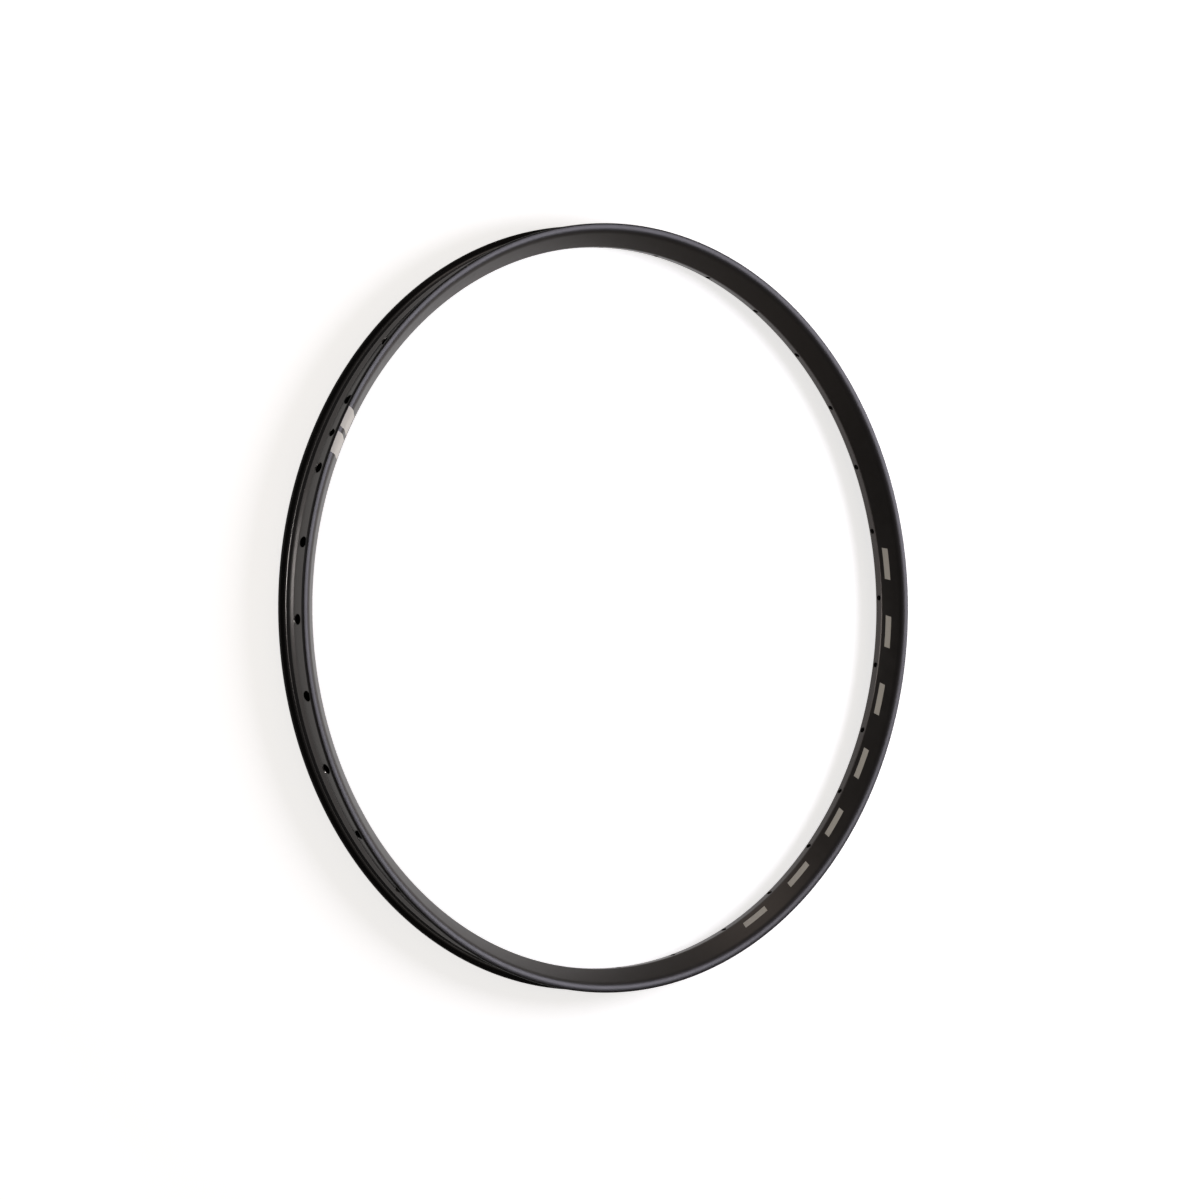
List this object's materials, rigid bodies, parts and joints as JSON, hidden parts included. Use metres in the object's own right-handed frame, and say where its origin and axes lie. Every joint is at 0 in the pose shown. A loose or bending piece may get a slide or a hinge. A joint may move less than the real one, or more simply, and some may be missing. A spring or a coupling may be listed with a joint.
{
  "type": "bicycle rim",
  "caption": "Black double-wall alloy bicycle rim: a hoop with a tyre channel outside, a drilled spoke bed inside and a valve hole.",
  "frame": {"origin": "centre of the hoop, midway between its two sides", "axes": "+Z along the hoop's axis, +X through the valve hole; the hoop lies flat on its lower side"},
  "size_m": [0.633, 0.633, 0.0356],
  "materials": {
    "anodised_black": "fine matt black anodising, polished in the tyre channel"
  },
  "bodies": {
    "root": {"rim": "anodised_black"}
  },
  "joints": []
}
